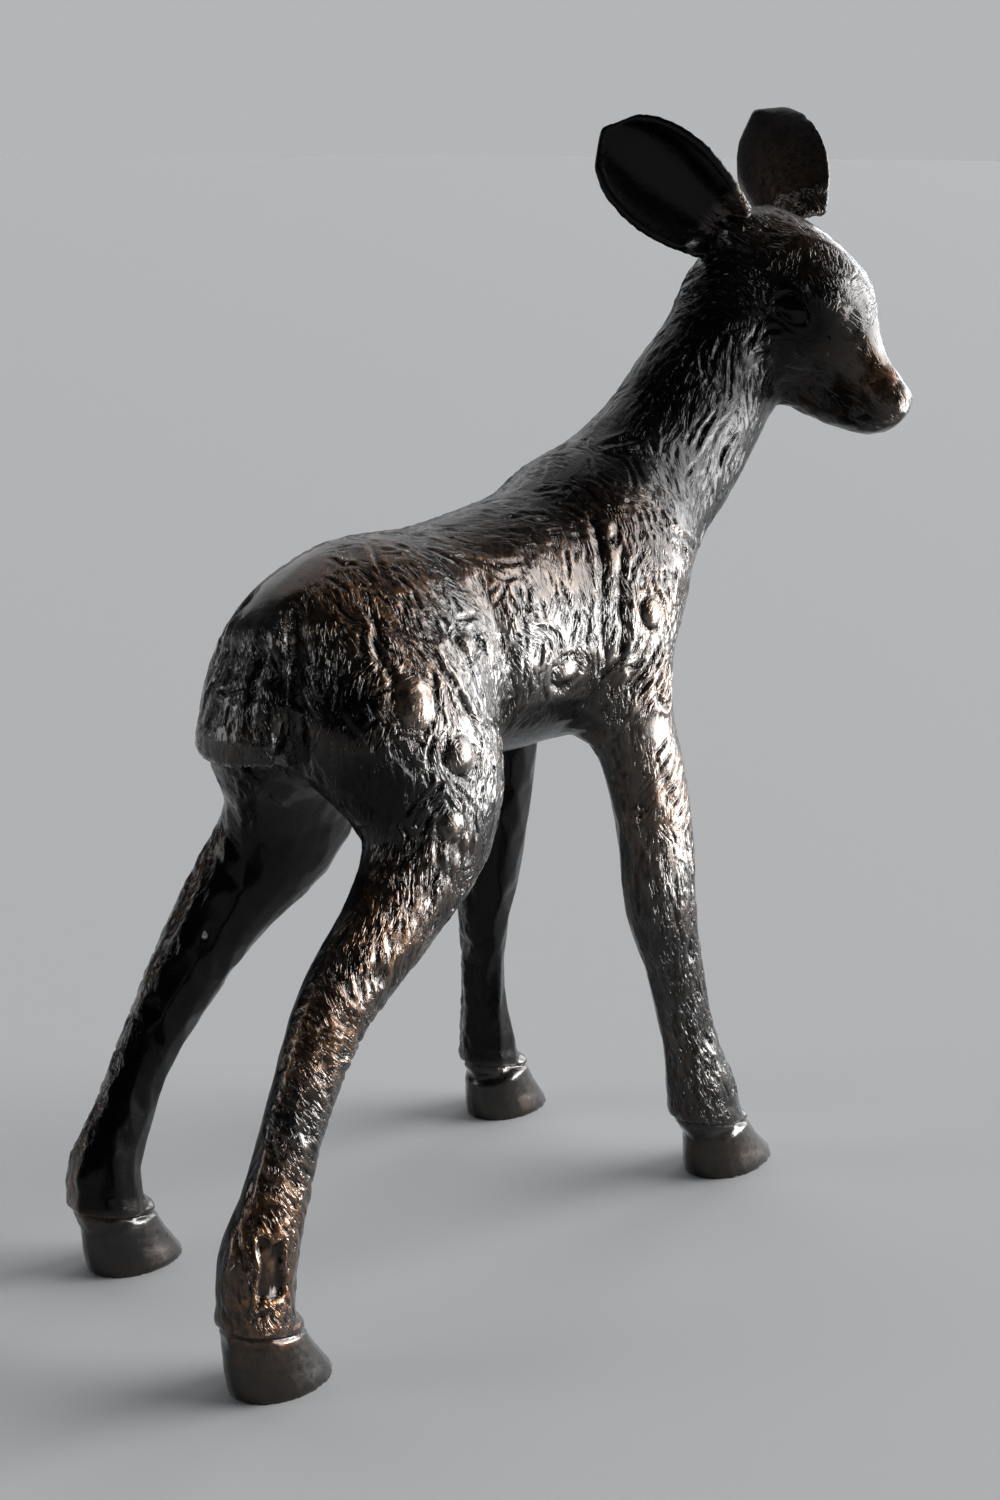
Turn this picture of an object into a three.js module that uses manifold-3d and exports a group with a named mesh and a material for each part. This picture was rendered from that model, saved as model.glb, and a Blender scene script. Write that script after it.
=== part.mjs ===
// A life-like standing fawn, cast in one piece in bronze. It stands on four small hooves, splayed as a young
// animal does, and turns its head to its right. Millimetres, +Z up, +X the way the body points, +Y its left.
import * as THREE from "three";
import { mergeVertices } from "three/addons/utils/BufferGeometryUtils.js";
import Module from "manifold-3d";

const wasm = await Module();
wasm.setup();

// Driving sizes of the casting.
const EAR_LENGTH = 98;
const EAR_WIDTH = 61;
const EAR_WIDEST = 0.55; // where the ear is widest, as a share of its length from the root
const EAR_WALL = 5.5;
const EAR_CUP = 62; // half the angle that the ear's hollow is curled through, in degrees
const HOOF_LENGTH = 60;
const HOOF_WIDTH = 42;
const CORONET_LENGTH = 41;
const CORONET_WIDTH = 37;
const CORONET_RISE = 9; // how much higher the coronet is in front than at the heel
const SPOT_HEIGHT = 3;
const TAIL_TIP_RISE = 5; // how much higher the tail's end is at its sides than in its middle

// Where the torso, neck and tail run. A station is [x, y, z, half height, half width].
const TORSO = [
  [-100, 0, 344, 30, 28],
  [-82, 0, 338, 52, 46],
  [-44, 0, 336, 67, 57],
  [6, 0, 338, 65, 56],
  [60, 0, 340, 70, 57],
  [104, 0, 345, 71, 57],
  [134, 0, 352, 60, 49],
  [160, 0, 366, 40, 38],
];
const NECK = [
  [148, 0, 381, 55, 42],
  [202, -2, 417, 51, 38],
  [229, -5, 446, 50, 36],
  [250, -9, 474, 46, 34],
  [264, -12, 504, 42, 33],
];
const TAIL = [
  [-88, 0, 378, 11, 16],
  [-105, 0, 364, 13, 22],
  [-117, 0, 345, 14, 26],
  [-125, 0, 326, 14, 28],
  [-130, 0, 309, 12.5, 27],
  [-132, 0, 299, 9, 25],
];
const HAUNCH = [
  [-73, 26, 334, 43, 28],
  [-62, 42, 314, 50, 31],
  [-42, 50, 284, 40, 27],
];
const SHOULDER = [
  [120, 31, 378, 30, 19],
  [140, 40, 362, 29, 22],
  [118, 44, 300, 22, 17],
];

// Each leg's middle line, from the sole up to where it enters the body, its girth beside the standard one, and
// how much longer than the standard its toe is.
const LEGS = {
  right_hind: {
    kind: "hind",
    girth: 1,
    toe: 0,
    line: [
      [-177, -72, 0],
      [-191, -72, 34],
      [-190, -72, 68],
      [-177, -72, 98],
      [-160, -71, 138],
      [-131, -69, 186],
      [-80, -62, 224],
      [-46, -55, 268],
      [-60, -32, 325],
    ],
  },
  left_hind: {
    kind: "hind",
    girth: 1,
    toe: -2,
    line: [
      [-136, 90, 0],
      [-150, 90, 32],
      [-156, 90, 57],
      [-143, 89, 85],
      [-127, 88, 116],
      [-104, 84, 152],
      [-76, 75, 194],
      [-42, 56, 246],
      [-60, 32, 320],
    ],
  },
  right_fore: {
    kind: "fore",
    girth: 1,
    toe: 7,
    line: [
      [190, -71, 0],
      [178, -71, 30],
      [166, -71, 54],
      [155, -70, 88],
      [142, -68, 136],
      [131, -65.5, 178],
      [131.5, -61, 214],
      [128, -54, 258],
      [115, -34, 335],
    ],
  },
  left_fore: {
    kind: "fore",
    girth: 0.87,
    toe: 0,
    line: [
      [168, 88, 0],
      [157, 88, 30],
      [150, 87, 48],
      [144, 85, 79],
      [138, 80, 120],
      [134, 73, 155],
      [133, 66, 189],
      [130, 55, 245],
      [115, 34, 335],
    ],
  },
};

// A leg's section at each point of its line above the sole: [radius fore and aft, radius sideways].
const LEG_SECTIONS = {
  hind: [
    [19.5, 17.5],
    [21.5, 18.5],
    [18.5, 15.5],
    [17.5, 15],
    [22, 18],
    [28, 23],
    [42, 28],
    [50, 30],
  ],
  fore: [
    [18.5, 16.5],
    [22.5, 19.5],
    [17.5, 15.5],
    [18, 16],
    [23, 19],
    [25, 19.5],
    [26, 20],
    [28, 22],
  ],
};

// The head, in a frame of its own: x to the nose, y to its left, z to the crown, from the middle of the skull.
const HEAD_CENTRE = [287, -29, 525];
const HEAD_TURN = -77; // from straight ahead, to the fawn's right, in degrees
const HEAD_NOD = 32; // nose down, in degrees
const SKULL = [
  [-18, 0, -2, 33, 30],
  [6, 0, -2, 35, 33],
  [30, 0, -5, 33, 32],
  [46, 0, -12, 24, 23],
];
const MUZZLE = [
  [38, 0, -20, 25, 22],
  [59, 0, -21, 21, 17],
  [80, 0, -24, 18, 15.5],
  [95, 0, -27, 16, 14],
];
const JAW = [
  [10, 0, -40, 20, 22],
  [50, 0, -49, 14, 15],
  [75, 0, -47, 10, 11],
  [92, 0, -43, 8, 9],
];
const BROW = { place: [33, 19, 7], radius: 14 };
const CHEEK = { place: [20, 15, -30], radius: 20 };
const EAR_BASE = { place: [-30, 21, 6], radius: 17 };
const EYE = { place: [26, 28.5, -5], radius: 8.5 };
const NOSTRIL = { place: [107, 7, -20], radius: 3 };
const EARS = [
  { root: [-22, 26, 20], axis: [-72, 50, 28], facing: [0.1, 0.95, -0.1] },
  { root: [-36, -26, 7], axis: [-83, -60, 22], facing: [0.3, -0.9, 0.2] },
];

// Raised oval spots on each flank: [x, z, half length, half height], where the body's side lies behind them.
const SPOTS = [
  [-73, 331, 9.5, 13],
  [-51, 301, 9, 8.5],
  [-24, 352, 9, 8],
  [-62, 267, 8, 10],
  [60, 322, 9, 7],
  [120, 348, 8, 10],
  [103, 396, 6, 6],
];

// Fineness of the surface mesh.
const SUBDIVISIONS = 4;
const GRID_X = [
  [-250, -20, 12.5],
  [-20, 215, 16],
  [215, 372, 9.7],
];
const GRID_Y = [
  [-160, 5, 9.5],
  [5, 130, 12.5],
];
const GRID_Z = [
  [-10, 48, 12],
  [48, 235, 17],
  [235, 440, 15],
  [440, 640, 9.5],
];

// Small vector helpers.
const scaled = (p, k) => [p[0] * k, p[1] * k, p[2] * k];
const mixed = (p, q, t) => p.map((v, i) => v + (q[i] - v) * t);
const degrees = (angle) => (angle * Math.PI) / 180;

// The head's placing matrix, and the same for a point or direction.
const headMatrix = new THREE.Matrix4()
  .makeTranslation(...HEAD_CENTRE)
  .multiply(new THREE.Matrix4().makeRotationZ(degrees(HEAD_TURN)))
  .multiply(new THREE.Matrix4().makeRotationY(degrees(HEAD_NOD)));
const onHead = (p) => new THREE.Vector3(...p).applyMatrix4(headMatrix).toArray();
const headSide = new THREE.Vector3(0, 1, 0).transformDirection(headMatrix).toArray();

// A smooth run of sections through a few stations, by a Catmull-Rom curve in all five values.
function smoothed(stations) {
  const run = [];
  const last = stations.length - 1;
  for (let i = 0; i < last; i++) {
    const [a, b, c, d] = [Math.max(i - 1, 0), i, i + 1, Math.min(i + 2, last)].map((k) => stations[k]);
    for (let s = 0; s < SUBDIVISIONS; s++) {
      const t = s / SUBDIVISIONS;
      run.push(
        b.map((_, k) => {
          const [p, q, r, w] = [a[k], b[k], c[k], d[k]];
          return 0.5 * (2 * q + (r - p) * t + (2 * p - 5 * q + 4 * r - w) * t * t + (3 * q - p - 3 * r + w) * t ** 3);
        }),
      );
    }
  }
  run.push(stations[last]);
  return run;
}

// A limb of oval section along its stations, as a field that is near the distance in millimetres. The first
// radius lies across the run in the plane square to side, the second along side.
function limb(stations, blend, side = [0, 1, 0]) {
  const run = smoothed(stations);
  const pieces = [];
  for (let i = 0; i + 1 < run.length; i++) {
    const p = run[i];
    const q = run[i + 1];
    const d = [q[0] - p[0], q[1] - p[1], q[2] - p[2]];
    const length = Math.hypot(...d);
    if (length < 1e-6) continue;
    const t = scaled(d, 1 / length);
    const along = side[0] * t[0] + side[1] * t[1] + side[2] * t[2];
    let s = [side[0] - along * t[0], side[1] - along * t[1], side[2] - along * t[2]];
    s = scaled(s, 1 / Math.hypot(...s));
    const n = [t[1] * s[2] - t[2] * s[1], t[2] * s[0] - t[0] * s[2], t[0] * s[1] - t[1] * s[0]];
    pieces.push({ p, q, t, s, n, length });
  }
  const reach = Math.max(...run.map((r) => Math.max(r[3], r[4])));
  const low = [0, 1, 2].map((k) => Math.min(...run.map((r) => r[k])) - reach);
  const high = [0, 1, 2].map((k) => Math.max(...run.map((r) => r[k])) + reach);
  const field = (x, y, z) => {
    const out = Math.hypot(
      Math.max(low[0] - x, 0, x - high[0]),
      Math.max(low[1] - y, 0, y - high[1]),
      Math.max(low[2] - z, 0, z - high[2]),
    );
    if (out > 40) return out;
    let best = Infinity;
    for (const { p, q, t, s, n, length } of pieces) {
      const dx = x - p[0];
      const dy = y - p[1];
      const dz = z - p[2];
      const along = dx * t[0] + dy * t[1] + dz * t[2];
      const share = Math.min(1, Math.max(0, along / length));
      const over = along - share * length;
      const a = p[3] + (q[3] - p[3]) * share;
      const b = p[4] + (q[4] - p[4]) * share;
      const u = dx * n[0] + dy * n[1] + dz * n[2];
      const v = dx * s[0] + dy * s[1] + dz * s[2];
      const e = Math.min(a, b);
      const k0 = Math.hypot(u / a, v / b, over / e);
      const k1 = Math.hypot(u / (a * a), v / (b * b), over / (e * e));
      const d = k1 > 1e-9 ? (k0 * (k0 - 1)) / k1 : -e;
      if (d < best) best = d;
    }
    return best;
  };
  return { field, blend };
}

const softMin = (a, b, k) => {
  const h = Math.max(k - Math.abs(a - b), 0) / k;
  return Math.min(a, b) - (h * h * k) / 4;
};

// One leg, up its middle line from within the hoof.
function legOf({ kind, girth, line }) {
  const stations = LEG_SECTIONS[kind].map(([foreAft, sideways], i) => [
    ...line[i + 1],
    foreAft * girth,
    sideways * girth,
  ]);
  const [sole, coronet] = line;
  return limb([[...mixed(sole, coronet, 0.7), 15, 14], ...stations], 22);
}

// The same ball on both sides of the head.
function pairOfBalls({ place, radius }, blend) {
  return [1, -1].map((side) => {
    const [cx, cy, cz] = onHead([place[0], place[1] * side, place[2]]);
    return { field: (x, y, z) => Math.hypot(x - cx, y - cy, z - cz) - radius, blend };
  });
}

const mirrored = (stations) => stations.map(([x, y, z, a, b]) => [x, -y, z, a, b]);
const onHeadStations = (stations) => stations.map(([x, y, z, a, b]) => [...onHead([x, y, z]), a, b]);

const masses = [
  limb(TORSO, 20),
  ...[HAUNCH, mirrored(HAUNCH)].map((stations) => limb(stations, 22)),
  ...[SHOULDER, mirrored(SHOULDER)].map((stations) => limb(stations, 22)),
  limb(NECK, 34),
  ...Object.values(LEGS).map(legOf),
  limb(onHeadStations(SKULL), 22, headSide),
  limb(onHeadStations(MUZZLE), 16, headSide),
  limb(onHeadStations(JAW), 12, headSide),
  ...pairOfBalls(BROW, 10),
  ...pairOfBalls(CHEEK, 14),
  ...pairOfBalls(EAR_BASE, 12),
];

function fawnField(x, y, z) {
  let d = 1e3;
  for (const { field, blend } of masses) d = softMin(d, field(x, y, z), blend);
  return d;
}

// The steps of a grid whose spans each have a fineness of their own.
function stepsOf(spans) {
  const steps = [spans[0][0]];
  for (const [low, high, step] of spans) {
    const count = Math.ceil((high - low) / step);
    for (let i = 1; i <= count; i++) steps.push(low + ((high - low) * i) / count);
  }
  return steps;
}

// The field's slope at a point.
function slopeAt(field, p) {
  const step = 0.5;
  return [0, 1, 2].map((axis) => {
    const [more, less] = [[...p], [...p]];
    more[axis] += step;
    less[axis] -= step;
    return (field(...more) - field(...less)) / (2 * step);
  });
}

// Moves a point onto the surface where the field is zero.
function settle(field, p) {
  for (let pass = 0; pass < 3; pass++) {
    const d = field(...p);
    const g = slopeAt(field, p);
    const steep = g[0] ** 2 + g[1] ** 2 + g[2] ** 2;
    if (steep > 1e-3) for (let axis = 0; axis < 3; axis++) p[axis] -= (d * g[axis]) / steep;
  }
}

// Where the four corners of a grid face lie inside and outside by turns, the surface would touch itself. The
// corner nearest to the surface changes sides there.
function untangle(values, nx, ny, nz) {
  const steps = [1, nx, nx * ny];
  const faces = [
    [0, 1],
    [1, 2],
    [0, 2],
  ];
  for (let changed = true; changed; ) {
    changed = false;
    for (let n = 0; n + nx * ny + nx + 1 < values.length; n++)
      for (const [a, b] of faces) {
        const corners = [n, n + steps[a], n + steps[a] + steps[b], n + steps[b]];
        const inside = corners.map((m) => values[m] < 0);
        if (inside[0] !== inside[2] || inside[1] !== inside[3] || inside[0] === inside[1]) continue;
        corners.sort((m, k) => Math.abs(values[m]) - Math.abs(values[k]));
        values[corners[0]] = values[corners[0]] < 0 ? 0.01 : -0.01;
        changed = true;
      }
  }
}

// The closed surface where the field is zero, by surface nets on a grid of uneven steps.
function surfaceOf(field, xs, ys, zs) {
  const [nx, ny, nz] = [xs.length, ys.length, zs.length];
  const values = new Float32Array(nx * ny * nz);
  const at = (i, j, k) => i + nx * (j + ny * k);
  for (let k = 0; k < nz; k++)
    for (let j = 0; j < ny; j++) for (let i = 0; i < nx; i++) values[at(i, j, k)] = field(xs[i], ys[j], zs[k]);
  untangle(values, nx, ny, nz);
  const points = [];
  const cell = new Int32Array(nx * ny * nz).fill(-1);
  const corners = [0, 1, 2, 3, 4, 5, 6, 7].map((c) => [c & 1, (c >> 1) & 1, (c >> 2) & 1]);
  const edges = [];
  for (let a = 0; a < 8; a++) for (const bit of [1, 2, 4]) if (!(a & bit)) edges.push([a, a | bit]);
  for (let k = 0; k + 1 < nz; k++)
    for (let j = 0; j + 1 < ny; j++)
      for (let i = 0; i + 1 < nx; i++) {
        const v = corners.map(([a, b, c]) => values[at(i + a, j + b, k + c)]);
        const inside = v.filter((w) => w < 0).length;
        if (inside === 0 || inside === 8) continue;
        const sum = [0, 0, 0];
        let crossings = 0;
        for (const [a, b] of edges) {
          if (v[a] < 0 === v[b] < 0) continue;
          const t = v[a] / (v[a] - v[b]);
          const [p, q] = [corners[a], corners[b]];
          sum[0] += xs[i + p[0]] + t * (xs[i + q[0]] - xs[i + p[0]]);
          sum[1] += ys[j + p[1]] + t * (ys[j + q[1]] - ys[j + p[1]]);
          sum[2] += zs[k + p[2]] + t * (zs[k + q[2]] - zs[k + p[2]]);
          crossings++;
        }
        cell[at(i, j, k)] = points.length;
        points.push(scaled(sum, 1 / crossings));
      }
  const triangles = [];
  const quad = (a, b, c, d, turned) => {
    const [p, q, r, s] = turned ? [a, d, c, b] : [a, b, c, d];
    const far = (m, n) => Math.hypot(...points[m].map((v, axis) => v - points[n][axis]));
    if (far(p, r) < far(q, s)) triangles.push(p, q, r, p, r, s);
    else triangles.push(p, q, s, q, r, s);
  };
  for (let k = 1; k + 1 < nz; k++)
    for (let j = 1; j + 1 < ny; j++)
      for (let i = 1; i + 1 < nx; i++) {
        const v = values[at(i, j, k)];
        const c = (a, b, d) => cell[at(i - a, j - b, k - d)];
        if (v < 0 !== values[at(i + 1, j, k)] < 0)
          quad(c(0, 1, 1), c(0, 0, 1), c(0, 0, 0), c(0, 1, 0), v >= 0);
        if (v < 0 !== values[at(i, j + 1, k)] < 0)
          quad(c(1, 0, 1), c(1, 0, 0), c(0, 0, 0), c(0, 0, 1), v >= 0);
        if (v < 0 !== values[at(i, j, k + 1)] < 0)
          quad(c(1, 1, 0), c(0, 1, 0), c(0, 0, 0), c(1, 0, 0), v >= 0);
      }
  // Even out the net twice, and bring every point back onto the surface each time.
  const neighbours = points.map(() => new Set());
  for (let i = 0; i < triangles.length; i += 3) {
    const corner = triangles.slice(i, i + 3);
    for (const m of corner) for (const n of corner) if (m !== n) neighbours[m].add(n);
  }
  for (let round = 0; round < 3; round++) {
    if (round > 0) {
      const old = points.map((p) => [...p]);
      points.forEach((p, m) => {
        for (let axis = 0; axis < 3; axis++) {
          let sum = 0;
          for (const n of neighbours[m]) sum += old[n][axis];
          p[axis] = 0.5 * old[m][axis] + (0.5 * sum) / neighbours[m].size;
        }
      });
    }
    for (const p of points) settle(field, p);
  }
  const geometry = new THREE.BufferGeometry();
  geometry.setAttribute("position", new THREE.Float32BufferAttribute(points.flat(), 3));
  geometry.setIndex(triangles);
  return geometry;
}

// A closed geometry as a solid for joining and cutting, and back.
function solidOf(geometry) {
  const bare = geometry.clone();
  for (const name of ["normal", "uv"]) bare.deleteAttribute(name);
  const merged = mergeVertices(bare, 1e-4);
  return new wasm.Manifold(
    new wasm.Mesh({
      numProp: 3,
      vertProperties: merged.attributes.position.array,
      triVerts: new Uint32Array(merged.index.array),
    }),
  );
}
function geometryOf(solid) {
  const mesh = solid.getMesh();
  const geometry = new THREE.BufferGeometry();
  geometry.setAttribute("position", new THREE.BufferAttribute(mesh.vertProperties, 3));
  geometry.setIndex(new THREE.BufferAttribute(mesh.triVerts, 1));
  geometry.computeVertexNormals();
  return geometry;
}

const fawnSurface = surfaceOf(fawnField, stepsOf(GRID_X), stepsOf(GRID_Y), stepsOf(GRID_Z));

// A closed skin over rings of points of equal number, with a flat cap on each end.
function skinOf(rings) {
  const count = rings[0].length;
  const triangles = [];
  for (let i = 0; i + 1 < rings.length; i++)
    for (let j = 0; j < count; j++) {
      const [a, b] = [i * count + j, i * count + ((j + 1) % count)];
      triangles.push(a, a + count, b, b, a + count, b + count);
    }
  const last = (rings.length - 1) * count;
  for (let j = 1; j < count / 2; j++) {
    const [a, b, c, d] = [j - 1, j, count - 1 - j, count - j];
    triangles.push(a, b, d % count, b, c, d % count);
    triangles.push(last + b, last + a, last + (d % count), last + c, last + b, last + (d % count));
  }
  const geometry = new THREE.BufferGeometry();
  geometry.setAttribute("position", new THREE.Float32BufferAttribute(rings.flat(2), 3));
  geometry.setIndex(triangles);
  return geometry;
}

// An ear: a leaf-shaped cup with a blunt tip, in a frame with x along it and z the way its hollow faces.
const EAR_RINGS = 11;
const EAR_SIDES = 8;
function earOf({ root, axis, facing }) {
  const rings = [];
  for (let i = 0; i <= EAR_RINGS; i++) {
    const u = i / EAR_RINGS;
    const tip = Math.max(0, (u - EAR_WIDEST) / (1 - EAR_WIDEST));
    const base = 0.58 + 0.42 * Math.sin((Math.PI / 2) * Math.min(1, u / EAR_WIDEST));
    const half = Math.max(1.5, (EAR_WIDTH / 2) * base * Math.sqrt(Math.max(0, 1 - tip ** 2.2)));
    const curl = degrees(EAR_CUP * (1 - 0.45 * u));
    const radius = half / Math.sin(curl);
    const wall = EAR_WALL * (1 - 0.5 * u);
    const ring = [];
    for (let j = 0; j < 2 * EAR_SIDES; j++) {
      const outer = j < EAR_SIDES;
      const across = (outer ? j : 2 * EAR_SIDES - 1 - j) / (EAR_SIDES - 1);
      const angle = curl * (2 * across - 1) * (outer ? 1 : 0.94);
      const r = radius + (outer ? wall / 2 : -wall / 2);
      ring.push([u * EAR_LENGTH, -r * Math.sin(angle), radius - r * Math.cos(angle)]);
    }
    rings.push(ring);
  }
  const along = new THREE.Vector3(...axis).normalize();
  const out = new THREE.Vector3(...facing);
  out.addScaledVector(along, -out.dot(along)).normalize();
  const across = new THREE.Vector3().crossVectors(out, along);
  const place = new THREE.Matrix4().makeBasis(along, across, out).setPosition(...root);
  return solidOf(skinOf(rings).applyMatrix4(headMatrix.clone().multiply(place)));
}

// The tail: a broad flap that lies down over the rump, narrower behind than where it lies on the body.
const TAIL_SIDES = 14;
function tailOf() {
  const rings = TAIL.map(([x, y, z, thick, wide], i) => {
    const [before, after] = [TAIL[Math.max(i - 1, 0)], TAIL[Math.min(i + 1, TAIL.length - 1)]];
    const lean = Math.atan2(before[0] - after[0], before[2] - after[2]);
    const rise = TAIL_TIP_RISE * Math.max(0, 1 - (TAIL.length - 1 - i) / 2);
    return Array.from({ length: TAIL_SIDES }, (_, j) => {
      const angle = (-2 * Math.PI * j) / TAIL_SIDES;
      const out = thick * Math.cos(angle);
      const aside = wide * Math.sin(angle) * (1 - 0.2 * Math.cos(angle));
      return [x - out * Math.cos(lean), y + aside, z + out * Math.sin(lean) + rise * Math.sin(angle) ** 2];
    });
  });
  return solidOf(skinOf(rings));
}

// A hoof: a flat sole, walls that lean in to the coronet, and a lip there round the leg.
const HOOF_SIDES = 18;
function hoofOf({ line, toe }) {
  const [sole, coronet] = line;
  // Each ring: [share of the way up, radius forward, radius back, radius sideways, rise from heel to toe].
  const rings = [
    [0, HOOF_LENGTH * 0.53 + toe, HOOF_LENGTH * 0.47, HOOF_WIDTH / 2, 0],
    [0.14, HOOF_LENGTH * 0.52 + toe, HOOF_LENGTH * 0.47, HOOF_WIDTH / 2, 0],
    [0.5, HOOF_LENGTH * 0.42 + toe / 2, HOOF_LENGTH * 0.42, HOOF_WIDTH * 0.46, CORONET_RISE / 2],
    [0.94, CORONET_LENGTH * 0.52, CORONET_LENGTH * 0.48, CORONET_WIDTH / 2, CORONET_RISE],
    [1.06, CORONET_LENGTH * 0.42, CORONET_LENGTH * 0.4, CORONET_WIDTH * 0.4, CORONET_RISE],
  ].map(([share, forward, back, sideways, rise]) => {
    const [x, y] = mixed(sole, coronet, share);
    return Array.from({ length: HOOF_SIDES }, (_, j) => {
      const angle = (-2 * Math.PI * j) / HOOF_SIDES;
      const reach = Math.cos(angle) * (Math.cos(angle) > 0 ? forward : back);
      const z = share * coronet[2] + (rise * Math.cos(angle)) / 2;
      return [x + reach, y + sideways * Math.sin(angle), z];
    });
  });
  return solidOf(skinOf(rings));
}

// A ball of bronze for both sides of the head, to be joined on or cut away.
function balls({ place, radius }) {
  return [1, -1].map((side) => {
    const ball = new THREE.SphereGeometry(radius, 14, 9);
    ball.translate(...onHead([place[0], place[1] * side, place[2]]));
    return solidOf(ball);
  });
}

// A raised spot of the fawn's coat, a low oval dome on the flank.
function spotOf([x, z, length, height], side) {
  const place = [x, 90 * side, z];
  while (fawnField(...place) > 0) place[1] -= 0.5 * side;
  const normal = new THREE.Vector3(...slopeAt(fawnField, place)).normalize();
  const across = new THREE.Vector3(0, 0, 1).cross(normal).normalize();
  const up = new THREE.Vector3().crossVectors(normal, across);
  const dome = new THREE.SphereGeometry(1, 10, 6).scale(1.3 * length, 1.3 * height, 3 * SPOT_HEIGHT);
  dome.applyMatrix4(new THREE.Matrix4().makeBasis(across, up, normal));
  dome.translate(...place);
  dome.translate(...normal.multiplyScalar(-2 * SPOT_HEIGHT).toArray());
  return solidOf(dome);
}

let fawn = solidOf(fawnSurface);
for (const leg of Object.values(LEGS)) fawn = fawn.add(hoofOf(leg));
fawn = fawn.add(tailOf());
for (const ear of EARS) fawn = fawn.add(earOf(ear));
for (const eye of balls(EYE)) fawn = fawn.add(eye);
for (const nostril of balls(NOSTRIL)) fawn = fawn.subtract(nostril);
for (const side of [1, -1]) for (const spot of SPOTS) fawn = fawn.add(spotOf(spot, side));

const bronze = new THREE.MeshStandardMaterial({ color: 0x2b211b, roughness: 0.35, metalness: 0.9 });
const geometry = geometryOf(fawn);

// The origin is on the ground under the middle of the whole.
geometry.computeBoundingBox();
const middle = geometry.boundingBox.getCenter(new THREE.Vector3());
geometry.translate(-middle.x, -middle.y, 0);

const mesh = new THREE.Mesh(geometry, bronze);
mesh.name = "fawn";
const group = new THREE.Group();
group.add(mesh);
export default group;
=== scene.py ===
import math

import bpy
import numpy as np
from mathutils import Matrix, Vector, kdtree


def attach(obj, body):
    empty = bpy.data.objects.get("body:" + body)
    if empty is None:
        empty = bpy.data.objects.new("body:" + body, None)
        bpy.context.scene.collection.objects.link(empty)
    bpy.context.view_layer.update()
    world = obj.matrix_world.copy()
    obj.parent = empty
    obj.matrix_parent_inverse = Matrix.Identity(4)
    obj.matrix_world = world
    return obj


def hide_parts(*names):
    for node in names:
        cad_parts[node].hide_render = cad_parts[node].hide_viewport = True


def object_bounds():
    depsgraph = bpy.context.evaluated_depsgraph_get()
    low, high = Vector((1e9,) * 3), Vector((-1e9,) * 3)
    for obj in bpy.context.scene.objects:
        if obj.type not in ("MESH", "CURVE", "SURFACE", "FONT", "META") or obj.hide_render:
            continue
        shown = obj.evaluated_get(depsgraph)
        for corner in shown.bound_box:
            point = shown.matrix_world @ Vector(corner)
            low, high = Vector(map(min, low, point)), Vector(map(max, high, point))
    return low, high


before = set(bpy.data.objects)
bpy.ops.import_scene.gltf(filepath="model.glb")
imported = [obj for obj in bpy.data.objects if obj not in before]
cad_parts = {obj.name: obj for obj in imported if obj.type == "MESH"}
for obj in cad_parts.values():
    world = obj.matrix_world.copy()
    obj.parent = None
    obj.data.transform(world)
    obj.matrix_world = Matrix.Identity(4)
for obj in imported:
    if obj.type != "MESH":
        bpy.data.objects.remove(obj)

cad_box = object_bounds()

# The bronze skin. The fawn is cast hollow in one piece, from a wax whose surface was modelled all over
# before the pour. The skin starts from the solid's own form, divided finely enough to hold the tool
# marks, with its facets smoothed and the soles and the tail's hem left crisp.

SKIN_STEP = 0.0011
SMOOTHING_ROUNDS = 95

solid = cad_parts["fawn"]
fawn = bpy.data.objects.new("fawn_casting", solid.data.copy())
bpy.context.scene.collection.objects.link(fawn)
skin = fawn.modifiers.new("skin", "REMESH")
skin.mode = "VOXEL"
skin.voxel_size = SKIN_STEP


def settle_modifiers(piece):
    """Makes the shape that the piece's modifiers give into its mesh."""
    depsgraph = bpy.context.evaluated_depsgraph_get()
    made = bpy.data.meshes.new_from_object(piece.evaluated_get(depsgraph))
    piece.modifiers.clear()
    piece.data = made


def points_of(piece):
    """The piece's points, and its edges as pairs of point numbers."""
    flat = np.empty(len(piece.data.vertices) * 3, np.float64)
    piece.data.vertices.foreach_get("co", flat)
    pairs = np.empty(len(piece.data.edges) * 2, np.int64)
    piece.data.edges.foreach_get("vertices", pairs)
    return flat.reshape(-1, 3), pairs.reshape(-1, 2)


settle_modifiers(fawn)
place, edges = points_of(fawn)


def neighbour_mean(values):
    """The mean of each point's neighbours, for one value or three a point."""
    count = len(values)
    flat = values.reshape(count, -1)
    mean = np.empty_like(flat)
    valence = np.bincount(edges.ravel(), minlength=count)
    for k in range(flat.shape[1]):
        total = np.bincount(edges[:, 0], flat[edges[:, 1], k], count)
        total += np.bincount(edges[:, 1], flat[edges[:, 0], k], count)
        mean[:, k] = total / valence
    return mean.reshape(values.shape)


def fade(distance, inner, outer):
    """1 within inner, 0 beyond outer, and a soft step between them."""
    t = np.clip((outer - distance) / (outer - inner), 0.0, 1.0)
    return t * t * (3.0 - 2.0 * t)


# The head's own frame: its middle, the way the nose points, its left side and its crown.
HEAD = np.array([0.2144, -0.0301, 0.525])
NOSEWARD = np.array([0.191, -0.826, -0.530])
HEAD_LEFT = np.array([0.974, 0.225, 0.0])
CROWN = np.array([0.119, -0.516, 0.848])
EARS = {
    "left": {"root": (-0.022, 0.026, 0.020), "along": (-0.072, 0.050, 0.028), "open": (0.1, 0.95, -0.1)},
    "right": {"root": (-0.036, -0.026, 0.008), "along": (-0.083, -0.060, 0.022), "open": (0.3, -0.9, 0.2)},
}
EAR_LENGTH = 0.098


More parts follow.
